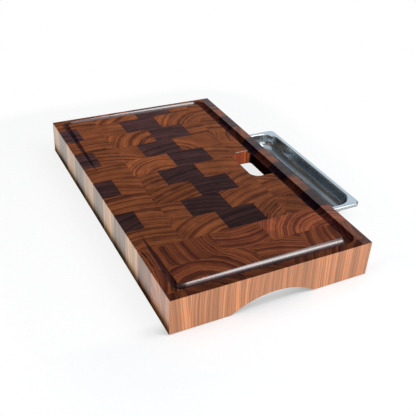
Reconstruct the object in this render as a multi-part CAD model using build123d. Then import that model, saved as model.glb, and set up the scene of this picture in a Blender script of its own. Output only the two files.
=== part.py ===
"""End-grain butcher block board with a steel pan that slides home under its waste slot."""
import math
import os

from build123d import *

# Board. X runs across it towards the pan's side, Y along it, Z up
board_width = 300.0
board_length = 500.0
board_thickness = 55.0
edge_easing = 1.0
overrun = 2.0

# Strips. Each is a crosscut from a glued-up panel of planks, stood on end and laid along X
plank_thickness = 45.0
front_strip_width = 12.5
least_far_strip_width = 12.0
front_set_count = 3

# Planks of the panel that the far strips are cut from, from its dark edge on. The dark heart
# and the ruddy plank share what the others leave
far_planks = ("dark_edge", "pale_pair", "pale_pair", "dark_heart", "ruddy", "pale_edge")
dark_edge_width = 30.6
first_pale_width = 39.9
second_pale_width = 36.3
dark_heart_share = 0.463
pale_edge_width = 51.8

# How far a turned strip is laid to the right, and each far strip to the left of the one behind
flip_stagger = 15.9
joint_creep = 2.25

# Glue joints of the front strips, which come from another panel, as shares of the board's width
front_joint_shares = (0.092, 0.345, 0.592)
front_flipped_joint_shares = (0.073, 0.470, 0.720)

# Juice groove. A ball-ended cutter starts it at the surface twice on the closed side, and it
# falls evenly both ways round to the slot, so that it widens as it goes
groove_width = 16.0
groove_depth = 7.8
groove_from_left = 17.5
groove_from_right = 23.0
groove_from_front = 18.5
groove_from_far = 12.0
groove_start_shares = (0.33, 0.57)
groove_inner_corner = 0.6
groove_levelling = 40.0

# Waste slot, from the top into the pocket. Its outer wall lies under the groove's middle
slot_width = 42.0
slot_length = 79.0
slot_inner_corner_radius = 14.0
slot_outer_corner_radius = 5.0
slot_easing = 0.8

# Finger arch at the foot of each end
arch_length = 140.0
arch_rise = 20.0
arch_foot_radius = 20.0
arch_depth = 32.0

# Pan: one pressed sheet with a turned-down rim. Pushed home, its middle lies under the slot's
pan_width = 88.0
pan_length = 265.0
pan_depth = 24.0
pan_sheet = 0.8
pan_rim_width = 8.0
pan_lip_height = 5.5
pan_rim_roll_radius = 2.2
pan_corner_radius = 9.0
pan_opening_radius = 25.0
pan_wall_slope = 12.0
pan_floor_radius = 14.0
pan_mouth_radius = 2.0
pan_held = 11.0

# Pocket under the board, open on the pan's side, and the runners that carry the pan's rim
pocket_height = 30.0
pocket_side_room = 1.5
pocket_end_room = 2.5
pocket_corner_radius = 8.0
runner_width = 8.0
runner_top = 23.0
runner_height = 20.5
runner_easing = 0.8
running_clearance = 0.3

# Countersunk screws that hold each runner to the pocket's side
screw_radius = 2.0
screw_length = 20.0
screw_head_radius = 4.0
screw_head_height = 2.4
screw_point_height = 4.0
screw_sunk = 0.4
screw_clearance = 0.05
screw_place_shares = (0.15, 0.85)

# Places that follow. The origin is under the middle of the board and the drawn pan together
pan_drawn = pan_width - pan_held
board_x = -pan_drawn / 2
left_x = board_x - board_width / 2
right_x = board_x + board_width / 2
front_y = -board_length / 2
far_y = board_length / 2
groove_radius = groove_width / 2
groove_z = board_thickness + groove_radius - groove_depth
groove_turn = groove_radius + groove_inner_corner
slot_right_x = right_x - groove_from_right
slot_left_x = slot_right_x - slot_width
pocket_end_x = right_x - pan_width - pocket_end_room
pocket_half_length = pan_length / 2 + pocket_side_room
pan_right_x = right_x + pan_drawn
pan_x = pan_right_x - pan_width / 2
pan_rim_bottom = runner_top + running_clearance
pan_rim_top = pan_rim_bottom + pan_lip_height
runner_length = right_x - pocket_end_x
screw_z = runner_top - runner_height / 2


def groove_half(side, end_y, start_y):
    """The cutter's path from beside the slot, level there, up round two corners to the surface."""
    outward, along, inward = Vector(0, side, 0), Vector(-1, 0, 0), Vector(0, -side, 0)
    place = Vector(slot_right_x, side * slot_length / 2, groove_z)
    first = side * end_y - slot_length / 2 - groove_turn - groove_levelling
    across = board_width - groove_from_left - groove_from_right - 2 * groove_turn
    last = side * (end_y - start_y) - groove_turn
    rise = groove_depth / (groove_levelling / 2 + first + across + last + 4 * groove_turn)
    up = Vector(0, 0, rise)
    chord = outward + Vector(0, 0, math.tan(math.atan(rise) / 2))
    edges = [TangentArc(place, place + chord * groove_levelling, tangent=outward)]
    place += chord * groove_levelling
    for way, turned, length in ((outward, along, first), (along, inward, across)):
        corner = place + (way + up) * length
        after = corner + (way + turned + up * 2) * groove_turn
        edges += [Line(place, corner), TangentArc(corner, after, tangent=way + up)]
        place = after
    return edges + [Line(place, place + (inward + up) * (last + groove_radius))]


def groove_cutter():
    """The ball-ended cutter's whole path, with a level run past the slot."""
    near_start, far_start = [front_y + share * board_length for share in groove_start_shares]
    near = groove_half(-1, front_y + groove_from_front, near_start)
    away = groove_half(1, far_y - groove_from_far, far_start)
    level = Line((slot_right_x, -slot_length / 2, groove_z), (slot_right_x, slot_length / 2, groove_z))
    path = (Curve() + near + level + away).wire()
    section = Plane(origin=path @ 0, z_dir=path % 0) * Circle(groove_radius)
    return sweep(section, path=path)


def slot_cutter():
    """The slot's room, with the edge at the top eased. Only its inner corners are wide."""
    outline = Rectangle(slot_width, slot_length)
    outline = fillet(outline.vertices().group_by(Axis.X)[0], radius=slot_inner_corner_radius)
    outline = fillet(outline.vertices().group_by(Axis.X)[-1], radius=slot_outer_corner_radius)
    below = board_thickness - pocket_height + overrun
    room = extrude(outline, amount=overrun) + extrude(outline, amount=-below)
    flare = Pos(0, 0, -slot_easing) * extrude(outline, amount=slot_easing + overrun, taper=-45)
    return Pos(slot_right_x - slot_width / 2, 0, board_thickness) * (room + flare)


def pocket_cutter():
    """Room for the pan and its runners, cut from below and out through the right side."""
    reach = runner_length + pocket_corner_radius + overrun
    outline = RectangleRounded(reach, 2 * pocket_half_length, pocket_corner_radius)
    place = Pos(pocket_end_x + reach / 2, 0, -overrun)
    return place * extrude(outline, amount=pocket_height + overrun)


def arch_cutter():
    """An ogee arch: a rounded foot each side that runs into one wide arc, cut in from the end."""
    half = arch_length / 2
    both_radii = (half**2 + arch_rise**2) / (2 * arch_rise)
    turn = math.asin(half / both_radii)
    knee_x = half - arch_foot_radius * math.sin(turn)
    knee_z = arch_foot_radius * (1 - math.cos(turn))
    mid_x = half - arch_foot_radius * math.sin(turn / 2)
    mid_z = arch_foot_radius * (1 - math.cos(turn / 2))
    outline = Curve() + [
        Line((-half, -overrun), (-half, 0)),
        ThreePointArc((-half, 0), (-mid_x, mid_z), (-knee_x, knee_z)),
        ThreePointArc((-knee_x, knee_z), (0, arch_rise), (knee_x, knee_z)),
        ThreePointArc((knee_x, knee_z), (mid_x, mid_z), (half, 0)),
        Line((half, 0), (half, -overrun)),
        Line((half, -overrun), (-half, -overrun)),
    ]
    end = Plane(origin=(board_x, front_y - overrun, 0), x_dir=(1, 0, 0), z_dir=(0, -1, 0))
    return extrude(end * make_face(outline), amount=-(arch_depth + overrun))


def screw_places():
    """The middle of each screw's head, with the side of the pocket that it points to."""
    for side in (-1, 1):
        head_y = side * (pocket_half_length - runner_width + screw_sunk)
        for share in screw_place_shares:
            yield Pos(pocket_end_x + share * runner_length, head_y, screw_z), side


def along_screw(place, side):
    """The screw's own frame: Z runs from the head into the wood."""
    return place * Rot(X=-90 * side)


def screw():
    shank_length = screw_length - screw_head_height - screw_point_height
    head = Pos(0, 0, screw_head_height / 2) * Cone(screw_head_radius, screw_radius, screw_head_height)
    shank = Pos(0, 0, screw_head_height + shank_length / 2) * Cylinder(screw_radius, shank_length)
    point_z = screw_length - screw_point_height / 2
    return head + shank + Pos(0, 0, point_z) * Cone(screw_radius, 0, screw_point_height)


def screw_hole():
    """The screw's own room, with the countersink carried out through the runner's face."""
    bore = screw_radius + screw_clearance
    mouth = screw_head_radius + screw_clearance
    hole = Pos(0, 0, screw_length / 2) * Cylinder(bore, screw_length)
    sink = Pos(0, 0, screw_head_height / 2) * Cone(mouth, bore, screw_head_height)
    return hole + sink + Pos(0, 0, -overrun / 2) * Cylinder(mouth, overrun)


def panel():
    """The glued-up board after it is routed and eased, before it is shared out into blocks."""
    blank = Pos(board_x, 0, board_thickness / 2) * Box(board_width, board_length, board_thickness)
    blank = fillet(blank.edges(), radius=edge_easing)
    blank -= [groove_cutter(), slot_cutter(), pocket_cutter()]
    blank -= [arch_cutter(), arch_cutter().rotate(Axis((board_x, 0, 0), (0, 0, 1)), 180)]
    return blank - [along_screw(*place) * screw_hole() for place in screw_places()]


def strip_limits():
    """Y of the strips' edges, from the front. The far strip is what is left over."""
    room = board_length - front_strip_width - least_far_strip_width
    whole = max(1, math.floor(room / plank_thickness))
    first = front_y + front_strip_width
    return [front_y] + [first + i * plank_thickness for i in range(whole + 1)] + [far_y]


def far_joints():
    """Where the far panel's planks meet, from its dark edge."""
    first = dark_edge_width + first_pale_width
    heart = first + second_pale_width
    edge = board_width - pale_edge_width
    return [dark_edge_width, first, heart, heart + dark_heart_share * (edge - heart), edge]


def clear_of_corners(x, low_y, high_y):
    """Takes a joint that the slot cuts right through clear of the slot's round corners, so that
    the wood left in a corner belongs to the block beside it."""
    crossed = -slot_length / 2 < low_y and high_y < slot_length / 2
    if not crossed or x <= slot_left_x or x >= slot_right_x:
        return x
    return min(max(x, slot_left_x + slot_inner_corner_radius), slot_right_x - slot_outer_corner_radius)


def joint_places(strip, count, low_y, high_y):
    """X of the joints along a strip. Every other strip is turned end for end, and each of the
    far set lies a little further left than the one behind it, the more so to the right."""
    flipped = strip % 2 == 1
    if strip < front_set_count:
        shares = front_flipped_joint_shares if flipped else front_joint_shares
        joints = [share * board_width for share in shares]
    else:
        joints = far_joints()
        if flipped:
            joints = [board_width + flip_stagger - joint for joint in reversed(joints)]
        creep = joint_creep * (count - 1 - strip)
        joints = [joint - creep * joint / board_width for joint in joints]
    places = [clear_of_corners(left_x + joint, low_y, high_y) for joint in joints]
    return [left_x] + places + [right_x]


def cell(low_x, high_x, low_y, high_y):
    middle = ((low_x + high_x) / 2, (low_y + high_y) / 2, board_thickness / 2)
    return Pos(*middle) * Box(high_x - low_x, high_y - low_y, board_thickness)


def strip_blocks(strip, count, piece, low_y, high_y):
    """Named blocks of one strip: each is a node, and may hold more than one solid."""
    limits = joint_places(strip, count, low_y, high_y)
    cuts = []
    for low, high in zip(limits, limits[1:]):
        cuts.append(piece & cell(low, high, front_y, far_y))
    name = f"strip_{strip + 1:02d}"
    if strip == 0:
        return {f"{name}_front_edge": cuts}
    if strip < front_set_count:
        return {f"{name}_block_{letter}": [cut] for letter, cut in zip("abcd", cuts)}
    if strip % 2 == 1:
        cuts.reverse()
    blocks = {}
    for plank, cut in zip(far_planks, cuts):
        blocks.setdefault(f"{name}_{plank}", []).append(cut)
    return blocks


def runner(side):
    """A hardwood strip along the pocket's side. The pan's rim slides on its top."""
    middle_y = side * (pocket_half_length - runner_width / 2)
    place = Pos(pocket_end_x + runner_length / 2, middle_y, screw_z)
    strip = Box(runner_length, runner_width, runner_height)
    inner = strip.faces().sort_by(Axis.Y)[0 if side > 0 else -1]
    strip = place * fillet(inner.edges().filter_by(Axis.X), radius=runner_easing)
    corner = pocket_cutter()
    holes = [along_screw(*at) * screw_hole() for at in screw_places() if at[1] == side]
    return (strip & corner) - holes


def pan_bowl(grow):
    """The pan's hollow, or with the sheet's thickness to grow by, its outside."""
    width = pan_width - 2 * pan_rim_width + 2 * grow
    length = pan_length - 2 * pan_rim_width + 2 * grow
    mouth = RectangleRounded(width, length, pan_opening_radius + grow)
    bowl = extrude(mouth, amount=-(pan_depth - pan_sheet + grow), taper=pan_wall_slope)
    floor = bowl.faces().sort_by(Axis.Z)[0]
    return fillet(floor.edges(), radius=pan_floor_radius + grow)


def pan_rim(shrink):
    """The rim's flat and turned-down edge as one block, or the room under it."""
    outline = RectangleRounded(
        pan_width - 2 * shrink, pan_length - 2 * shrink, pan_corner_radius - shrink
    )
    block = extrude(outline, amount=-pan_lip_height)
    top = block.faces().sort_by(Axis.Z)[-1]
    return fillet(top.edges(), radius=pan_rim_roll_radius - shrink)


def pan():
    """One pressed sheet: a sloped bowl, a flat rim and an edge turned down all round."""
    sheet = pan_rim(0) - Pos(0, 0, -pan_sheet) * pan_rim(pan_sheet) + pan_bowl(pan_sheet)
    rim_faces = sheet.faces().filter_by(Axis.Z).sort_by(Axis.Z)
    under_rim = rim_faces.filter_by(lambda face: face.normal_at().Z < 0)[-1]
    bend = under_rim.inner_wires()[0].edges()
    sheet = fillet(bend, radius=pan_mouth_radius - pan_sheet) - pan_bowl(0)
    mouth = sheet.faces().sort_by(Axis.Z)[-1].inner_wires()[0].edges()
    return Pos(pan_x, 0, pan_rim_top) * fillet(mouth, radius=pan_mouth_radius)


def nodes():
    board = panel()
    limits = strip_limits()
    count = len(limits) - 1
    made = {}
    for strip, (low, high) in enumerate(zip(limits, limits[1:])):
        piece = board & cell(left_x, right_x, low, high)
        made.update(strip_blocks(strip, count, piece, low, high))
    made["front_runner"] = [runner(-1)]
    made["far_runner"] = [runner(1)]
    made["runner_screws"] = [along_screw(*place) * screw() for place in screw_places()]
    made["waste_pan"] = [pan()]
    return made


os.makedirs("parts", exist_ok=True)
for name, pieces in nodes().items():
    solids = [solid for piece in pieces for solid in piece.solids()]
    whole = solids[0] if len(solids) == 1 else Compound(children=solids)
    export_step(whole, f"parts/{name}.step")
    print(name, len(solids), "solids", round(sum(s.volume for s in solids)), "mm3")
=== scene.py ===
# %% [markdown]
# An end-grain butcher block with a steel pan under it.
# The board is glued up from blocks of wood that stand on end, so its top shows growth rings and its
# sides show long grain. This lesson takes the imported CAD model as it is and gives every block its
# own piece of a tree. Then it polishes the pan, lays a white floor and lights the board softly.

import math

import bmesh
import bpy
from mathutils import Matrix, Vector


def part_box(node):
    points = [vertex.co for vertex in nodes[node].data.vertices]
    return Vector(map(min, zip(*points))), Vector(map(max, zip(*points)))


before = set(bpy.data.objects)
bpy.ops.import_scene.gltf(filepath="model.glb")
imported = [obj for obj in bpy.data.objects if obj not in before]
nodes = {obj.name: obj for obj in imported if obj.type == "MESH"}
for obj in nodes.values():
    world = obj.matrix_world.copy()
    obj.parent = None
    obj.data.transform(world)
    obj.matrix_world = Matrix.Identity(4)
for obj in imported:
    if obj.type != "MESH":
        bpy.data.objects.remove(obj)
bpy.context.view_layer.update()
MM = 0.001
print(len(nodes), "nodes of the board and its pan are loaded")

# %% [markdown]
# The camera stands where the photograph was taken. The board is a true box of known size, so its
# seven corners in the picture give the whole view: how high the camera was, how far it was turned
# and tipped, and its lens. A camera could be placed by eye, but then no edge would lie right.

# %% Camera at the photograph's view
elevation = math.radians(33.532)
azimuth = math.radians(-28.654)
roll = math.radians(3.562)
aim = Vector((-58.3, -90.5, 55.0)) * MM
camera_distance = 933.9 * MM
lens_mm, sensor_mm = 56.59, 36.0
nearest_seen = 10.0 * MM

turn = (
    Matrix.Rotation(azimuth, 4, "Z")
    @ Matrix.Rotation(math.pi / 2 - elevation, 4, "X")
    @ Matrix.Rotation(roll, 4, "Z")
)
camera = bpy.data.objects.new("camera", bpy.data.cameras.new("camera"))
camera.data.lens = lens_mm
camera.data.sensor_width = sensor_mm
camera.data.clip_start = nearest_seen
camera.matrix_world = Matrix.Translation(aim) @ turn @ Matrix.Translation((0, 0, camera_distance))
bpy.context.scene.collection.objects.link(camera)
bpy.context.scene.camera = camera
print("camera at", [round(v, 3) for v in camera.matrix_world.translation])

# %% [markdown]
# Materials are built from small nodes, and a few short helpers keep that readable. These start a
# material, add a node to it and fill the node's sockets, with plain values or with links from other
# nodes. The node editor gives the same result by hand, but a block board needs it many times over.

# %% Helpers that add nodes
def fill(tree, node, sockets):
    """Fills a node's sockets with links or values. A colour is given as red, green and blue."""
    for name, value in sockets.items():
        socket = node.inputs[name]
        if isinstance(value, bpy.types.NodeSocket):
            tree.links.new(value, socket)
        else:
            socket.default_value = (*value, 1.0) if socket.type == "RGBA" else value


def add(tree, kind, sockets=None, **settings):
    """Adds a node, sets its options and fills its sockets."""
    node = tree.nodes.new(kind)
    for option, value in settings.items():
        setattr(node, option, value)
    fill(tree, node, sockets or {})
    return node


def new_material(name):
    """A material with its node tree and its shader."""
    material = bpy.data.materials.new(name)
    material.use_nodes = True
    return material, material.node_tree, material.node_tree.nodes["Principled BSDF"]


print("helpers that add nodes are ready")

# %% [markdown]
# A pattern is worked out from the place of each point, so it needs sums on numbers and on vectors.
# Blender has a node for each sum. These helpers only give the usual ones short names, so that a
# step further down reads as one line of plain arithmetic.

# %% Helpers for sums
def sums(tree, operation, *values):
    """One step of arithmetic on numbers."""
    return add(tree, "ShaderNodeMath", dict(enumerate(values)), operation=operation).outputs[0]


def product(tree, first, *others):
    """Several numbers multiplied together."""
    for other in others:
        first = sums(tree, "MULTIPLY", first, other)
    return first


def without(tree, share):
    """What is left of a whole when a share is taken away."""
    return sums(tree, "SUBTRACT", 1.0, share)


def vectors(tree, operation, *values):
    """One step of arithmetic on vectors."""
    node = add(tree, "ShaderNodeVectorMath", dict(enumerate(values)), operation=operation)
    return node.outputs[0]


def scaled(tree, vector, factor):
    """A vector made longer or shorter by a number."""
    sockets = {0: vector, "Scale": factor}
    return add(tree, "ShaderNodeVectorMath", sockets, operation="SCALE").outputs[0]


def length(tree, vector):
    """How long a vector is."""
    node = add(tree, "ShaderNodeVectorMath", {0: vector}, operation="LENGTH")
    return node.outputs["Value"]


def split(tree, vector):
    """The three numbers of a vector."""
    return tuple(add(tree, "ShaderNodeSeparateXYZ", {0: vector}).outputs)


print("helpers for sums are ready")

# %% [markdown]
# A finish seldom starts at a hard line. So places and numbers are turned into shares with a soft
# step, and the shares then blend two numbers or two colours. A colour ramp could do the same, but
# its stops are harder to read in a script than four named numbers.

# %% Helpers for steps and blends
def step(tree, value, low, high, to_low=0.0, to_high=1.0):
    """A smooth change from one number to another while a value goes from low to high."""
    ends = {"From Min": low, "From Max": high, "To Min": to_low, "To Max": to_high}
    sockets = {"Value": value} | ends
    return add(tree, "ShaderNodeMapRange", sockets, interpolation_type="SMOOTHSTEP").outputs[0]


def past(tree, value, mark, blur, before=0.0, after=1.0):
    """A step at a mark, as wide as its blur."""
    return step(tree, value, mark - blur / 2, mark + blur / 2, before, after)


def blend(tree, amount, first, second):
    """Blends two numbers, which a Mix node keeps in its sockets 2 and 3."""
    return add(tree, "ShaderNodeMix", {0: amount, 2: first, 3: second}).outputs[0]


def mix(tree, amount, first, second, blend_type="MIX"):
    """Blends two colours, which a Mix node keeps in its sockets 6 and 7."""
    sockets = {0: amount, 6: first, 7: second}
    node = add(tree, "ShaderNodeMix", sockets, data_type="RGBA", blend_type=blend_type)
    return node.outputs[2]


def tinted(tree, colour, tint):
    """A colour seen through another."""
    return mix(tree, 1.0, colour, tint, "MULTIPLY")


def shade(tree, colour, level):
    """A colour made darker or lighter by a number."""
    grey = add(tree, "ShaderNodeCombineColor", {0: level, 1: level, 2: level}).outputs[0]
    return tinted(tree, colour, grey)


print("helpers for steps and blends are ready")

# %% [markdown]
# Two things tell one spot of wood from another: chance, and the way its surface faces. Chance is a
# soft cloud of noise, which can be read in space or along a line. The facing is turned into the
# piece's own space, so a finish stays on its face when the piece moves. All patterns read Object
# coordinates, for the same reason.

# %% Helpers for chance and facing
def noise(tree, place, scale, detail, output="Fac"):
    """Soft random cloud, read at a place in space or at a number on a line."""
    on_line = place.type == "VALUE"
    sockets = {"W" if on_line else "Vector": place, "Scale": scale, "Detail": detail}
    dimensions = "1D" if on_line else "3D"
    return add(tree, "ShaderNodeTexNoise", sockets, noise_dimensions=dimensions).outputs[output]


def own_place(tree):
    """Where a point lies, in the piece's own space."""
    return add(tree, "ShaderNodeTexCoord").outputs["Object"]


def facings(tree, output):
    """Which way a surface faces, as three numbers in the piece's own space."""
    way = add(tree, "ShaderNodeNewGeometry").outputs[output]
    options = {"vector_type": "NORMAL", "convert_to": "OBJECT"}
    return split(tree, add(tree, "ShaderNodeVectorTransform", {0: way}, **options).outputs[0])


print("helpers for chance and facing are ready")

# %% [markdown]
# The board is finished differently at its rim, at its foot and in its groove, so the finishes have
# to know where the board begins and ends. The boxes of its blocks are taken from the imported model,
# so the finishes keep their places if the board is ever built in another size.

# %% Measure the board
wood_boxes = [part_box(name) for name in nodes if name.startswith("strip")]
board_low = Vector(min(low[i] for low, high in wood_boxes) for i in range(3))
board_high = Vector(max(high[i] for low, high in wood_boxes) for i in range(3))
board_middle = (board_low + board_high) / 2
board_half = (board_high - board_low) / 2
top_z = board_high.z
print("board of", [round(side / MM, 1) for side in board_high - board_low], "mm")

# %% [markdown]
# Each block was sawn from its own place in a trunk, and the trunk stands upright in the board. So
# every point is measured from the pith, the middle of the trunk. One solid pattern then gives rings
# on the top and long grain on the sides, and the two meet at the edges as they do in real wood. A
# flat picture of wood could not do that. Wood changes slowly along the trunk, so heights are
# squeezed. The finish is made in steps: each takes what the earlier ones found, and adds its own.

# %% Places in the trunk
trunk_lean = (0.035, 0.05, 0.0)
ring_squeeze = (1000.0, 1000.0, 70.0)
finish_steps = []


def finish_step(work):
    """Puts a step at the end of the wood's finish."""
    finish_steps.append(work)
    print("step", len(finish_steps), "of the wood's finish:", work.__name__)
    return work


@finish_step
def trunk(tree, knob, wood):
    """A point's place from the pith: upright in metres, and flat in squeezed millimetres."""
    from_pith = vectors(tree, "SUBTRACT", wood["place"], knob["Pith"])
    leaning = {"Vector": from_pith, "Rotation": trunk_lean}
    upright = add(tree, "ShaderNodeMapping", leaning).outputs[0]
    return {"upright": upright, "flat": vectors(tree, "MULTIPLY", upright, ring_squeeze)}

# %% [markdown]
# Growth rings are shells round the pith, so the distance from it, divided by the width of a year,
# counts the years. Even circles would look turned on a lathe. Three random pushes bend them: a slow
# one through the whole trunk, a quick one that makes each ring waver, and a sway along the trunk,
# which gives the sides a gently leaning grain. A seed starts each block in a year of its own.

# %% Rings round the pith
slow_bend = dict(scale=0.02, detail=1.0)
quick_bend = dict(scale=0.09, detail=5.0, reach=3.5)
sway = dict(scale=1.0, detail=0.0, reach=8.0)
sway_squeeze = (9.0, 9.0, 13.0)
middle_of_noise = (0.5, 0.5, 0.5)
level_only = (1.0, 1.0, 0.0)
years_per_seed = 7.3


def push(tree, place, scale, detail, reach):
    """A random push to any side."""
    way = noise(tree, place, scale, detail, "Color")
    return scaled(tree, vectors(tree, "SUBTRACT", way, middle_of_noise), reach)


@finish_step
def rings(tree, knob, wood):
    """Counts the years from the pith outwards."""
    flat = wood["flat"]
    along = vectors(tree, "MULTIPLY", wood["upright"], sway_squeeze)
    bent = vectors(tree, "ADD", flat, push(tree, flat, **slow_bend, reach=knob["Wobble"]))
    bent = vectors(tree, "ADD", bent, push(tree, flat, **quick_bend))
    bent = vectors(tree, "ADD", bent, push(tree, along, **sway))
    radius = length(tree, vectors(tree, "MULTIPLY", bent, level_only))
    start = product(tree, knob["Seed"], years_per_seed)
    return {"years": sums(tree, "ADD", sums(tree, "DIVIDE", radius, knob["Pitch"]), start)}

# %% [markdown]
# Years differ in width and strength. An even wave along the radius would give a striped shirt, so
# the soft bands follow a random curve. Thin dark lines end the years, and they are kept uneven too:
# each year has a hardness of its own, and patches of the block hardly show the line at all.

# %% Bands and lines of the years
late_in_year = dict(low=0.5, high=0.95)
hard_years = dict(low=0.0, high=1.0, to_low=0.3, to_high=1.2)
line_patches = dict(low=0.35, high=0.62, to_low=0.25)
band_noise = dict(scale=0.5, detail=3.0)
width_noise, width_reach = dict(scale=0.8, detail=2.0), 2.2
patch_noise = dict(scale=0.07, detail=2.0)
fine_noise = dict(scale=3.7, detail=2.0)


@finish_step
def seasons(tree, knob, wood):
    """Soft bands of growth, thin lines at the end of each year, and fine bands between them."""
    years = wood["years"]
    widths = product(tree, noise(tree, years, **width_noise), width_reach)
    uneven = sums(tree, "ADD", years, widths)
    late = step(tree, sums(tree, "FRACT", uneven), **late_in_year)
    year = sums(tree, "FLOOR", uneven)
    chance = add(tree, "ShaderNodeTexWhiteNoise", {"W": year}, noise_dimensions="1D")
    hard = step(tree, chance.outputs["Value"], **hard_years)
    patchy = step(tree, noise(tree, wood["flat"], **patch_noise), **line_patches)
    return {
        "growth": noise(tree, years, **band_noise),
        "line": product(tree, late, hard, patchy),
        "fine": noise(tree, years, **fine_noise),
    }

# %% [markdown]
# The top of the board is all end grain. A block there has the body colour of its wood, paler in
# bands of quick growth and darker in slow bands and at the lines. Pores, which run up the trunk
# like straws, show as dark specks. Slow clouds keep a block from looking printed. All of it could
# be painted on a flat image, but then no two boards could differ.

# %% End grain
pale_bands = dict(low=0.42, high=0.62, to_high=1.15)
dark_bands = dict(low=0.34, high=0.46, to_low=0.55, to_high=0.0)
cloud_levels = dict(low=0.3, high=0.7, to_low=0.82, to_high=1.18)
fine_levels = dict(low=0.35, high=0.65, to_low=0.80, to_high=1.20)
cloud_noise = dict(scale=0.03, detail=3.0)
pore_noise = dict(scale=1.1, detail=2.0)
pore_squeeze = (1000.0, 1000.0, 45.0)
pore_edge = dict(low=0.52, high=0.72)
between_pores, in_pores = 1.06, 0.78


@finish_step
def end_grain(tree, knob, wood):
    """The colour of a block's end."""
    light = product(tree, step(tree, wood["growth"], **pale_bands), knob["Contrast"])
    dark = product(tree, step(tree, wood["growth"], **dark_bands), knob["Contrast"])
    line = product(tree, wood["line"], knob["Contrast"])
    ringed = mix(tree, light, knob["Body"], knob["Early"])
    ringed = mix(tree, sums(tree, "MAXIMUM", dark, line), ringed, knob["Late"])
    cloud = noise(tree, wood["flat"], **cloud_noise)
    fine = step(tree, wood["fine"], **fine_levels)
    level = product(tree, step(tree, cloud, **cloud_levels), fine)
    straws = vectors(tree, "MULTIPLY", wood["upright"], pore_squeeze)
    pores = step(tree, noise(tree, straws, **pore_noise), **pore_edge)
    speckle = blend(tree, pores, between_pores, in_pores)
    colour = shade(tree, ringed, product(tree, level, speckle, knob["End tone"]))
    return {"Color": colour, "cloud": cloud, "level": level, "pores": pores}

# %% [markdown]
# A block in the middle shows only its end, but one at the rim has a side as well, and needs another
# finish there. Each side could be a material of its own, but the rounded edges between them would
# then have a hard line. Shares that come from the place and the facing blend across the edge.

# %% Outside faces and ends
rim_depth, rim_blur = 1.7 * MM, 1.0 * MM
lying = dict(low=0.35, high=0.8)


@finish_step
def faces(tree, knob, wood):
    """Where a point lies, which way it faces, and whether it is on the outside of the board."""
    spot = split(tree, wood["place"])
    facing = facings(tree, "True Normal")
    rims = []
    for i in range(2):
        from_middle = sums(tree, "ABSOLUTE", sums(tree, "SUBTRACT", spot[i], board_middle[i]))
        rims.append(past(tree, from_middle, board_half[i] - rim_depth, rim_blur))
    rim = sums(tree, "MAXIMUM", *rims)
    standing = without(tree, step(tree, sums(tree, "ABSOLUTE", facing[2]), **lying))
    return {
        "spot": spot,
        "facing": facing,
        "inner": without(tree, rim),
        "standing": standing,
        "outside": product(tree, rim, standing),
    }

# %% [markdown]
# The sides show long grain. It is paler than the ends, which drink the oil, and the years cross it
# as soft upright streaks. A stretched noise would give streaks as well, but these come from the
# same rings as the top, so the two meet at the edge.

# %% Long grain on the sides
growth_streaks = dict(low=0.3, high=0.7, to_low=0.78, to_high=1.18)
fine_streaks = dict(low=0.35, high=0.65, to_low=0.96, to_high=1.04)
between_lines, on_lines = 1.02, 0.93


@finish_step
def long_grain(tree, knob, wood):
    """The colour of a block's side, on the outside of the board."""
    streak = product(
        tree,
        step(tree, wood["growth"], **growth_streaks),
        blend(tree, wood["line"], between_lines, on_lines),
        step(tree, wood["fine"], **fine_streaks),
    )
    plank = shade(tree, knob["Plank"], product(tree, wood["level"], streak, knob["Side tone"]))
    return {"Color": mix(tree, wood["outside"], wood["Color"], plank)}

# %% [markdown]
# The closed side, to the left, is rubbed to a shine, and its colour is painted dark towards its
# foot, a painted shade where it stands on the floor. A coat over the wood gives the shine, because
# it adds a clear reflection and leaves the colour under it alone. Dark paint at the foot would need
# a mask; here the height of a point is the mask.

# %% The closed side
facing_left = dict(low=-0.9, high=-0.6, to_low=1.0, to_high=0.0)
# painted shade: the colour falls to a tenth towards the closed side's foot
foot_painted_shade = dict(low=0.0, high=26.0 * MM, to_low=0.10)
rubbed = dict(low=10.0 * MM, high=36.0 * MM)
other_gloss, closed_polish = 0.6, 0.26


@finish_step
def closed_side(tree, knob, wood):
    """Paints shade at the foot of the closed side, and polishes what is above it."""
    height = wood["spot"][2]
    closed = product(tree, wood["outside"], step(tree, wood["facing"][0], **facing_left))
    # painted shade at the foot of the closed side
    shaded_foot = blend(tree, closed, 1.0, step(tree, height, **foot_painted_shade))
    shine = blend(tree, closed, other_gloss, step(tree, height, **rubbed))
    return {
        "Color": shade(tree, wood["Color"], shaded_foot),
        "shine": shine,
        "Polish": product(tree, closed, shine, closed_polish),
    }

# %% [markdown]
# The juice groove is cut into the end grain, so its face drinks oil and turns dark, and it is
# painted darker still, a painted shade for the hollow. Wiping polishes the wall that faces the front
# along the near and far runs, and that wall is painted lighter and redder, a painted highlight where
# the key lamp falls. The other walls, the tips on the left and the run past the slot stay dull, and
# keep the darkest painted shade. The groove is in the mesh already, so its finish only has to find
# it: below the top, facing up, and not at the rim.

# %% The juice groove
groove_lip, groove_floor, groove_blur = 0.45 * MM, 8.75 * MM, 0.5 * MM
facing_up = dict(low=0.02, high=0.08)
facing_front = dict(low=-0.2, high=0.1, to_low=1.0, to_high=0.1)
slot_run, slot_blur, slot_wiped_and_lit = 32.0 * MM, 4.0 * MM, 0.05
tips_run, tips_blur, tips_wiped_and_lit = 31.0 * MM, 6.0 * MM, 0.14
# the first tint is oiled end grain with painted shade, the second adds a painted highlight
oiled_shaded_cut, oiled_lit_cut = (0.24, 0.21, 0.36), (0.44, 0.25, 0.31)
groove_polish = 0.45


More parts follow.
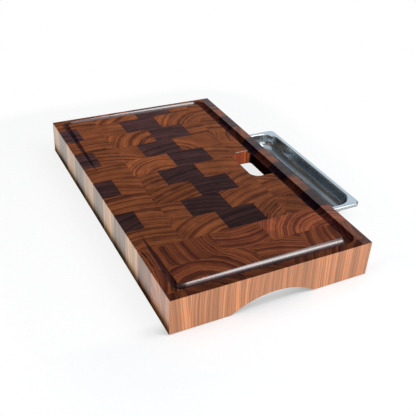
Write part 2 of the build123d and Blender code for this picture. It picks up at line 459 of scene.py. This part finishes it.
@finish_step
def juice_groove(tree, knob, wood):
    """Oil and painted shade darken the groove; its wiped walls get painted light and polish."""
    across, _, height = wood["spot"]
    below = past(tree, height, top_z - groove_lip, groove_blur, 1.0, 0.0)
    above = past(tree, height, top_z - groove_floor, groove_blur)
    upwards = step(tree, wood["facing"][2], **facing_up)
    groove = product(tree, below, above, upwards, wood["inner"])
    by_slot = past(tree, across, board_high.x - slot_run, slot_blur, 1.0, slot_wiped_and_lit)
    by_tips = past(tree, across, board_low.x + tips_run, tips_blur, tips_wiped_and_lit, 1.0)
    frontwards = step(tree, facings(tree, "Normal")[1], **facing_front)
    wiped = product(tree, by_slot, by_tips, frontwards)
    # painted shade darkens the groove past its oiled colour; painted light lifts the front walls
    dark = tinted(tree, wood["Color"], mix(tree, wiped, oiled_shaded_cut, oiled_lit_cut))
    polish = blend(tree, groove, wood["Polish"], product(tree, wiped, groove_polish))
    return {
        "Color": mix(tree, groove, wood["Color"], dark),
        "Polish": polish,
        "groove": groove,
        "wiped": wiped,
    }

# %% [markdown]
# Oil leaves the top nearly without shine, a little duller here and there. The right border shines
# more, because hands pass over it whenever the pan is drawn out. The sides are smoother than the
# top, and the groove is the smoothest. Sheen takes two numbers: how rough a face is, and how much
# light it throws back at all. One number alone would make a dull face look grey instead of soft.

# %% Sheen
oil_patches = dict(low=0.3, high=0.7, to_low=0.40, to_high=0.50)
side_roughness, groove_roughness = 0.34, 0.26
border, border_blur = 15.0 * MM, 2.0 * MM
top_gloss, border_gloss = 0.03, 0.52


@finish_step
def sheen(tree, knob, wood):
    """How rough each face is, and how strongly it reflects."""
    patchy = step(tree, wood["cloud"], **oil_patches)
    rough = blend(tree, wood["outside"], patchy, side_roughness)
    handled = past(tree, wood["spot"][0], board_high.x - border, border_blur)
    gloss = blend(tree, handled, top_gloss, border_gloss)
    gloss = blend(tree, wood["outside"], gloss, wood["shine"])
    return {
        "Roughness": blend(tree, wood["groove"], rough, groove_roughness),
        "Specular": blend(tree, wood["groove"], gloss, wood["wiped"]),
    }

# %% [markdown]
# The slot's walls are cut down through the blocks. The wall that faces the light glows warmly,
# because light comes back up from the floor and the pan, and the wall that faces away is black.
# Light that bounces this often is slow to render and noisy, so painted light on the one wall and
# painted shade on the other stand in for it.

# %% The slot's walls
wall_top, wall_blur = 1.5 * MM, 1.0 * MM
facing_away = dict(low=-0.6, high=-0.2, to_low=1.0, to_high=0.0)
# painted light on the wall that faces the lamps, painted shade on the wall that faces away
lit_wall, dark_wall = (2.4, 1.5, 1.0), (0.06, 0.05, 0.06)
lit_gloss, dark_gloss = 0.4, 0.0


@finish_step
def slot_walls(tree, knob, wood):
    """Paints light and shade on the standing faces inside the board."""
    below = past(tree, wood["spot"][2], top_z - wall_top, wall_blur, 1.0, 0.0)
    outside_groove = without(tree, wood["groove"])
    walls = product(tree, below, wood["standing"], wood["inner"], outside_groove)
    away = step(tree, wood["facing"][0], **facing_away)
    glow = tinted(tree, wood["Color"], mix(tree, away, lit_wall, dark_wall))
    return {
        "Color": mix(tree, walls, wood["Color"], glow),
        "Specular": blend(tree, walls, wood["Specular"], blend(tree, away, lit_gloss, dark_gloss)),
        "outside_groove": outside_groove,
    }

# %% [markdown]
# A finger feels the wood: pores are pits, and the hard lines stand a little proud where the soft
# wood between them has worn. This is far too fine for the mesh, so it becomes the height of a bump.
# The groove's cutter has left a smooth face, so it has none.

# %% Relief
line_height = 0.3


@finish_step
def relief(tree, knob, wood):
    """Lines stand up and pores are pits, outside the groove."""
    felt = sums(tree, "SUBTRACT", product(tree, wood["line"], line_height), wood["pores"])
    return {"Height": product(tree, felt, wood["outside_groove"])}

# %% [markdown]
# Now the steps run, one after the other, inside a node group. A group is built once and used by
# every block, and its knobs are what tells one block from another: its pith, its colours and how
# wide its years are. A copy of the whole tree in every material would look the same, but it would
# load slowly and could not be changed in one place.

# %% The wood as one node group
knobs = {
    "Vector": ["Pith"],
    "Float": ["Pitch", "Wobble", "Contrast", "Seed", "End tone", "Side tone"],
    "Color": ["Body", "Early", "Late", "Plank"],
}
results = {"Color": ["Color"], "Float": ["Roughness", "Specular", "Polish", "Height"]}


def add_sockets(tree, in_out, kinds_of_socket):
    """Gives a group its knobs or its results."""
    for kind, names in kinds_of_socket.items():
        for name in names:
            tree.interface.new_socket(name, in_out=in_out, socket_type=f"NodeSocket{kind}")


def wood_group():
    """The finish of the wood, with a knob for all that differs between blocks."""
    tree = bpy.data.node_groups.new("upright wood", "ShaderNodeTree")
    add_sockets(tree, "INPUT", knobs)
    add_sockets(tree, "OUTPUT", results)
    knob = add(tree, "NodeGroupInput").outputs
    wood = {"place": own_place(tree)}
    for work in finish_steps:
        wood |= work(tree, knob, wood)
    made = {name: wood[name] for names in results.values() for name in names}
    add(tree, "NodeGroupOutput", made)
    return tree


upright_wood = wood_group()
print("wood pattern of", len(upright_wood.nodes), "nodes")

# %% [markdown]
# The board is glued from a few kinds of plank. For each, the body colour is the middle of its
# range, the early colour its pale bands, the late colour its dark lines and the plank colour its
# long grain. The pitch is the width of a year in millimetres, and the wobble is how far its rings
# wander. Four kinds are enough, because each block also has a seed and tones of its own.

# %% Kinds of wood
kinds = {
    "brown": dict(
        Pitch=4.4, Wobble=9.0, Contrast=0.9,
        Body=(0.140, 0.041, 0.0165), Early=(0.195, 0.060, 0.022), Late=(0.024, 0.0080, 0.0062),
        Plank=(0.56, 0.32, 0.160),
    ),
    "ruddy": dict(
        Pitch=4.8, Wobble=7.0, Contrast=0.85,
        Body=(0.140, 0.040, 0.0160), Early=(0.220, 0.067, 0.023), Late=(0.030, 0.0095, 0.0066),
        Plank=(0.58, 0.31, 0.150),
    ),
    "dark": dict(
        Pitch=4.0, Wobble=6.0, Contrast=0.9,
        Body=(0.030, 0.0130, 0.0132), Early=(0.048, 0.0205, 0.0195), Late=(0.009, 0.0044, 0.0050),
        Plank=(0.20, 0.125, 0.072),
    ),
    "front": dict(
        Pitch=5.0, Wobble=10.0, Contrast=0.9,
        Body=(0.138, 0.036, 0.0170), Early=(0.210, 0.060, 0.024), Late=(0.022, 0.0065, 0.0058),
        Plank=(0.54, 0.213, 0.088),
    ),
}
words_for_kinds = {"dark": "dark", "ruddy": "ruddy", "pale": "brown"}


def kind_of(node):
    """The kind of wood that a node's name tells."""
    for word, name in words_for_kinds.items():
        if word in node:
            return name
    return "front"


print("kinds of wood:", ", ".join(kinds))

# %% [markdown]
# A block's finish is the group with its knobs set, on an oiled surface. The coat is the clear film
# that wiping leaves on the closed side and in the groove, and the group says where it lies. What is
# the same all over, such as the coat's roughness, is set on the shader itself.

# %% A finish for one block
wood_relief = {"Strength": 0.2, "Distance": 0.2 * MM}
oil_film = {"Coat Roughness": 0.25, "Coat IOR": 1.9}


def oiled_block(name, pith, seed, kind, tones):
    """The oiled wood of one block."""
    material, tree, shader = new_material(name)
    wood = add(tree, "ShaderNodeGroup", node_tree=upright_wood)
    own = {"Pith": pith, "Seed": seed, "End tone": tones[0], "Side tone": tones[1]}
    fill(tree, wood, own | kinds[kind])
    made = wood.outputs
    bump = add(tree, "ShaderNodeBump", {"Height": made["Height"]} | wood_relief)
    surface = {
        "Base Color": made["Color"],
        "Roughness": made["Roughness"],
        "Specular IOR Level": made["Specular"],
        "Coat Weight": made["Polish"],
        "Normal": bump.outputs["Normal"],
    }
    fill(tree, shader, surface | oil_film)
    return material


print("oiled finish ready, with a relief of", wood_relief["Distance"] / MM, "mm")

# %% [markdown]
# Now each block gets its place in a tree. The photograph shows which way the rings of each block
# bend, so the pith is set where they point, in millimetres from the board's front left corner.
# Blocks of one plank are neighbours in the same trunk, but a strip that was turned end for end
# shows them the other way round, so the places are given block by block.

# %% Where each block's pith lies
piths = {
    "strip_01": {"front_edge": [(-60, 20), (-20, -110), (60, -120), (380, -90)]},
    "strip_02": {"block_a": [(-90, 60)], "block_b": [(56, -2)], "block_c": [(150, -60)],
                 "block_d": [(350, 20)]},
    "strip_03": {"block_a": [(-120, 70)], "block_b": [(170, 92)], "block_c": [(148, 190)],
                 "block_d": [(272, 30)]},
    "strip_04": {"pale_edge": [(30, 0)], "ruddy": [(150, 20)], "dark_heart": [(190, -60)],
                 "pale_pair": [(290, 0), (170, 0)], "dark_edge": [(240, 0)]},
    "strip_05": {"dark_edge": [(60, 40)], "pale_pair": [(20, 0), (60, -20)],
                 "dark_heart": [(100, 20)], "ruddy": [(265, 0)], "pale_edge": [(270, 0)]},
    "strip_06": {"pale_edge": [(30, 40)], "ruddy": [(182, 0)], "dark_heart": [(160, 60)],
                 "pale_pair": [(280, 60), (190, 70)], "dark_edge": [(290, 60)]},
    "strip_07": {"dark_edge": [(10, 120)], "pale_pair": [(0, 100), (145, 90)],
                 "dark_heart": [(190, 80)], "ruddy": [(140, 20)], "pale_edge": [(270, 100)]},
    "strip_08": {"pale_edge": [(40, 160)], "ruddy": [(122, 258)], "dark_heart": [(150, 120)],
                 "pale_pair": [(180, 130), (190, 140)], "dark_edge": [(290, 140)]},
    "strip_09": {"dark_edge": [(20, 200)], "pale_pair": [(20, 200), (30, 230)],
                 "dark_heart": [(180, 200)], "ruddy": [(160, 322)], "pale_edge": [(345, 320)]},
    "strip_10": {"pale_edge": [(40, 230)], "ruddy": [(156, 352)], "dark_heart": [(170, 260)],
                 "pale_pair": [(235, 230), (240, 240)], "dark_edge": [(290, 260)]},
    "strip_11": {"dark_edge": [(10, 300)], "pale_pair": [(50, 270), (70, 260)],
                 "dark_heart": [(150, 280)], "ruddy": [(268, 380)], "pale_edge": [(270, 290)]},
    "strip_12": {"pale_edge": [(30, 300)], "ruddy": [(190, 380)], "dark_heart": [(180, 330)],
                 "pale_pair": [(240, 320), (240, 330)], "dark_edge": [(290, 330)]},
}
pith_of = {
    f"{strip}_{block}": spots for strip, blocks in piths.items() for block, spots in blocks.items()
}
print(sum(len(spots) for spots in pith_of.values()), "piths for", len(pith_of), "nodes of wood")

# %% [markdown]
# No two planks are equally dark, so a block can have tones of its own for its end and its side.
# The blocks' ends are painted lighter strip by strip towards the far end, a painted sheen there
# and painted shade at the near end. A colour for every block would do it too, but would hide what
# the blocks have in common.

# %% How light each block is
odd_tones = {
    "strip_01_front_edge": (0.65, 1.0),
    "strip_02_block_a": (1.0, 0.65),
    "strip_03_block_a": (1.0, 0.35),
    "strip_03_block_b": (0.8, 1.0),
    "strip_03_block_d": (1.5, 1.0),
    "strip_06_ruddy": (0.75, 1.0),
    "strip_08_ruddy": (1.3, 1.0),
}
# painted light: the ends of all blocks grow lighter strip by strip towards the far end
first_dark_painted_light_strip, dark_tone, dark_painted_light_gain = 4, 0.70, 1.15
first_painted_light_strip, near_painted_light_tone, painted_light_gain = 3, 0.76, 0.06


def tones_of(node):
    """How light a block's end and side are. The ends get painted light, more so strip by strip."""
    strip = int(node.split("_")[1])
    if kind_of(node) == "dark":
        painted_light = dark_tone * dark_painted_light_gain ** (strip - first_dark_painted_light_strip)
    else:
        painted_light = near_painted_light_tone + painted_light_gain * (strip - first_painted_light_strip)
    end, side = odd_tones.get(node, (1.0, 1.0))
    return painted_light * end, side


end_tones = [tones_of(node)[0] for node in pith_of]
print("end tones from", round(min(end_tones), 2), "to", round(max(end_tones), 2))

# %% [markdown]
# A node can hold more than one block, such as a pair of planks glued side by side. Its mesh is left
# as it is, but each face can name its own material. Two blocks meet where flat faces look both ways
# along X in one plane, so those planes are found first, and a face belongs to the block between
# the planes on either side of it.

# %% Give every block its wood
square_on = 0.99
plane_digits = 5
seed_apart = 1.37


def joints_in(mesh):
    """X of the planes where blocks of one node meet, from left to right."""
    looks = {1: set(), -1: set()}
    for face in mesh.polygons:
        if abs(face.normal.x) > square_on:
            looks[round(face.normal.x)].add(round(face.center.x, plane_digits))
    return sorted(looks[1] & looks[-1])


seed = 0.0
for node, spots in pith_of.items():
    mesh = nodes[node].data
    mesh.materials.clear()
    for number, (x, y) in enumerate(spots):
        seed += seed_apart
        pith = Vector((board_low.x + x * MM, board_low.y + y * MM, 0.0))
        wood = oiled_block(f"{node}_{number}", pith, seed, kind_of(node), tones_of(node))
        mesh.materials.append(wood)
    joints = joints_in(mesh)
    assert len(joints) == len(spots) - 1, (node, joints)
    for face in mesh.polygons:
        face.material_index = sum(face.center.x > joint for joint in joints)
print("wood on", len(pith_of), "nodes")

# %% [markdown]
# The pan is pressed from stainless sheet and polished. A mirror finish shows what is round it, so
# nearly all its look comes from the floor, the board and the lamps. The rim keeps that polish, but
# the bowl has been scrubbed to satin, and its steel is painted darker, a painted shade for the dim
# room it mirrors. Slow clouds keep both from looking like chrome. Scratches could be drawn one by
# one, but from here only their haze is seen.

# %% Polished steel for the pan
rim_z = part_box("waste_pan")[1][2]
bowl_depth, bowl_blur = 2.75 * MM, 2.5 * MM
haze_noise = dict(scale=22.0, detail=2.0)
haze_edge = dict(low=0.3, high=0.7)
rim_tint = (0.56, 0.595, 0.62)
# painted shade: the bowl's steel is darker than the rim's
shaded_bowl_tints = (0.34, 0.385, 0.415), (0.40, 0.445, 0.475)
rim_roughness, bowl_roughness = (0.10, 0.16), (0.18, 0.22)


def polished_steel():
    """Bright steel at the rim, satin steel with painted shade in the bowl."""
    material, tree, shader = new_material("polished steel")
    place = own_place(tree)
    haze = step(tree, noise(tree, place, **haze_noise), **haze_edge)
    inside = past(tree, split(tree, place)[2], rim_z - bowl_depth, bowl_blur, 1.0, 0.0)
    rough = [blend(tree, haze, *ends) for ends in (rim_roughness, bowl_roughness)]
    steel = {
        # painted shade inside the bowl
        "Base Color": mix(tree, inside, rim_tint, mix(tree, haze, *shaded_bowl_tints)),
        "Roughness": blend(tree, inside, *rough),
        "Metallic": 1.0,
    }
    fill(tree, shader, steel)
    return material


def dress(name, material):
    """Gives a whole node one material."""
    nodes[name].data.materials.clear()
    nodes[name].data.materials.append(material)


dress("waste_pan", polished_steel())
print("pan of", len(nodes["waste_pan"].data.polygons), "faces polished")

# %% [markdown]
# Two runners of a paler hardwood carry the pan. They lie along the pocket, so their grain runs
# level. The wood of the board would show rings here, so they have a simpler one of their own: a
# cloud of noise that is stretched along X. Both runners are sawn from one piece and share it.

# %% Runners
runner_squeeze = (14.0, 420.0, 420.0)
runner_noise = dict(scale=1.0, detail=4.0)
runner_tints = (0.42, 0.25, 0.13), (0.27, 0.145, 0.07)
runner_roughness = dict(low=0.3, high=0.7, to_low=0.45, to_high=0.58)
runner_relief = {"Strength": 0.15, "Distance": 0.2 * MM}
grain_edge = dict(low=0.3, high=0.7)


def runner_wood():
    """Hardwood with level grain."""
    material, tree, shader = new_material("runner wood")
    level = vectors(tree, "MULTIPLY", own_place(tree), runner_squeeze)
    grain = noise(tree, level, **runner_noise)
    bump = add(tree, "ShaderNodeBump", {"Height": grain} | runner_relief)
    wood = {
        "Base Color": mix(tree, step(tree, grain, **grain_edge), *runner_tints),
        "Roughness": step(tree, grain, **runner_roughness),
        "Normal": bump.outputs["Normal"],
    }
    fill(tree, shader, wood)
    return material


hardwood = runner_wood()
runners = ("front_runner", "far_runner")
for name in runners:
    dress(name, hardwood)
print("hardwood on", ", ".join(runners))

# %% [markdown]
# Four screws with a thin plating hold the runners. They sit in the pocket's sides, where only a
# view from below would find them, so small worn spots are enough. A photograph of worn metal would
# not be better, because each head is only a few millimetres wide.

# %% Screws
wear_noise = dict(scale=700.0, detail=2.0)
screw_tints = (0.45, 0.43, 0.40), (0.62, 0.60, 0.57)
screw_roughness = dict(low=0.3, high=0.7, to_low=0.28, to_high=0.42)


def plated_screws():
    """Plating that has worn in spots."""
    material, tree, shader = new_material("plated screws")
    wear = noise(tree, own_place(tree), **wear_noise)
    plating = {
        "Base Color": mix(tree, wear, *screw_tints),
        "Roughness": step(tree, wear, **screw_roughness),
        "Metallic": 1.0,
    }
    fill(tree, shader, plating)
    return material


dress("runner_screws", plated_screws())
print("screws of", len(nodes["runner_screws"].data.polygons), "faces plated")

# %% [markdown]
# The pan has bends, and the wood has round edges and a groove, so every piece is shaded smooth. The
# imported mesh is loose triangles, and those would show as facets. A weld joins them, a split keeps
# the crisp edges, and normals weighted by area keep flats flat. All three are modifiers, so the
# meshes themselves stay as the CAD model made them.

# %% Smooth shading
same_point = 0.001 * MM
crease = math.radians(25.0)
even_weight = 50


def shade_smooth(piece):
    """Joins loose triangles and rounds their shading, except across sharp edges."""
    weld = piece.modifiers.new("weld", "WELD")
    weld.merge_threshold = same_point
    edges = piece.modifiers.new("crisp edges", "EDGE_SPLIT")
    edges.split_angle = crease
    flats = piece.modifiers.new("flats stay flat", "WEIGHTED_NORMAL")
    flats.mode = "FACE_AREA_WITH_ANGLE"
    flats.weight = even_weight
    for face in piece.data.polygons:
        face.use_smooth = True


for piece in nodes.values():
    shade_smooth(piece)
print(len(nodes), "pieces shaded smooth")

# %% [markdown]
# The floor is white paper. The camera and anything shiny see it as plain white away from the board.
# Close to the board part of that white gives way to paper that takes light, most of it in front, so
# the board still has its soft shadow. A lamp for the floor alone would do it too, but would spill
# onto the board.

# %% White paper
paper_colour, white = (0.82, 0.85, 0.88), (1.0, 1.0, 1.0)
no_way = (0.0, 0.0, 0.0)
clear_of_board = dict(low=30.0 * MM, high=200.0 * MM)
front_fade = dict(
    low=board_low.y - 2.0 * MM, high=board_low.y + 30.0 * MM, to_low=0.2, to_high=0.8
)


def most(tree, first, *others):
    """The largest of several numbers."""
    for other in others:
        first = sums(tree, "MAXIMUM", first, other)
    return first


def white_paper():
    """Paper that is plain white to the eye, and takes shadows near the board."""
    material, tree, _ = new_material("white paper")
    tree.nodes.clear()
    ray = add(tree, "ShaderNodeLightPath").outputs
    seen = most(tree, *(ray[f"Is {kind} Ray"] for kind in ("Camera", "Glossy", "Transmission")))
    place = own_place(tree)
    from_middle = vectors(tree, "ABSOLUTE", vectors(tree, "SUBTRACT", place, board_middle))
    past_edge = vectors(tree, "SUBTRACT", from_middle, board_half)
    away = length(tree, vectors(tree, "MAXIMUM", past_edge, no_way))
    behind = step(tree, split(tree, place)[1], **front_fade)
    share = product(tree, seen, most(tree, behind, step(tree, away, **clear_of_board)))
    lit = add(tree, "ShaderNodeBsdfDiffuse", {"Color": paper_colour}).outputs[0]
    plain = add(tree, "ShaderNodeEmission", {"Color": white, "Strength": 1.0}).outputs[0]
    both = add(tree, "ShaderNodeMixShader", {0: share, 1: lit, 2: plain}).outputs[0]
    add(tree, "ShaderNodeOutputMaterial", {"Surface": both})
    return material


paper = white_paper()
print("paper that clears to white", clear_of_board["high"] / MM, "mm from the board")

# %% [markdown]
# The sheet is wide and turned up at its edge, as in a studio, so that low views see white behind
# the board too. A disc with its edge extruded upwards has no corners to show.

# %% Floor
sheet_radius, sheet_rise, sheet_sides = 6.0, 1.1, 64

sheet = bmesh.new()
bmesh.ops.create_circle(sheet, cap_ends=True, segments=sheet_sides, radius=sheet_radius)
edge = [side for side in sheet.edges if side.is_boundary]
raised = bmesh.ops.extrude_edge_only(sheet, edges=edge)["geom"]
raised = [part for part in raised if isinstance(part, bmesh.types.BMVert)]
bmesh.ops.translate(sheet, verts=raised, vec=(0.0, 0.0, sheet_rise))
floor = bpy.data.objects.new("floor", bpy.data.meshes.new("floor"))
sheet.to_mesh(floor.data)
sheet.free()
floor.data.materials.append(paper)
bpy.context.scene.collection.objects.link(floor)
print("floor of", len(floor.data.polygons), "faces laid")

# %% [markdown]
# Light comes from four soft boxes. The main one stands high in front, to the right: it shows as
# the white band in the groove and leaves every wall that faces left dark. A window behind, to the
# right, shines along the right border and in the pan's rim. One low in front lights the front end,
# and a warm one lights the closed side. Point lamps would do, but would leave hard shadows.

# %% Lamps
daylight, sky_blue, lamp_warm = (1.0, 0.97, 0.95), (0.74, 0.88, 1.0), (1.0, 0.93, 0.86)


def soft_box(name, place, target, width, height, power, colour):
    """A lamp with a broad face, turned to its target. Lengths are in metres, power in watts."""
    lamp = bpy.data.lights.new(name, "AREA")
    lamp.shape = "RECTANGLE"
    lamp.size, lamp.size_y = width, height
    lamp.energy = power
    lamp.color = colour
    box = bpy.data.objects.new(name, lamp)
    way = Vector(target) - Vector(place)
    facing = way.to_track_quat("-Z", "Y").to_matrix().to_4x4()
    box.matrix_world = Matrix.Translation(place) @ facing
    bpy.context.scene.collection.objects.link(box)
    return box


lamps = [
    soft_box("key", place=(0.65, -0.61, 1.15), target=(0.0, 0.0, 0.0),
             width=0.6, height=0.9, power=10.0, colour=daylight),
    soft_box("window", place=(0.99, 1.23, 0.90), target=(0.1, 0.0, 0.0),
             width=1.1, height=0.6, power=1.9, colour=sky_blue),
    soft_box("front", place=(0.2, -1.3, 0.7), target=(0.0, -0.2, 0.0),
             width=1.4, height=0.8, power=6.5, colour=daylight),
    soft_box("left", place=(-1.2, -0.3, 0.6), target=(-0.1, 0.0, 0.0),
             width=1.0, height=0.7, power=6.0, colour=lamp_warm),
]
print("soft boxes:", ", ".join(lamp.name for lamp in lamps))

# %% [markdown]
# The room's white ceiling gives even light from above, and its walls stay dim, because the steel
# shows them. A picture of a real room would do this too, but a world that only asks how high a ray
# goes needs no file. The camera sees white there, for views so low that they pass over the paper's
# edge. The plain view transform shows every colour about as it is written.

# %% Room
ceiling_colour = (0.96, 0.98, 1.0)
ceiling = dict(low=0.65, high=0.9, to_low=0.12, to_high=1.0)

room = bpy.data.worlds.new("room")
room.use_nodes = True
tree = room.node_tree
tree.nodes.clear()
way_out = add(tree, "ShaderNodeTexCoord").outputs["Generated"]
seen = add(tree, "ShaderNodeLightPath").outputs["Is Camera Ray"]
glow = most(tree, seen, step(tree, split(tree, way_out)[2], **ceiling))
sky = {"Color": ceiling_colour, "Strength": glow}
light = add(tree, "ShaderNodeBackground", sky).outputs[0]
add(tree, "ShaderNodeOutputWorld", {"Surface": light})
bpy.context.scene.world = room
bpy.context.scene.view_settings.view_transform = "Standard"
print("room with a ceiling of", ceiling["to_high"], "and walls of", ceiling["to_low"])

# %% [markdown]


print("the board is dressed and lit")
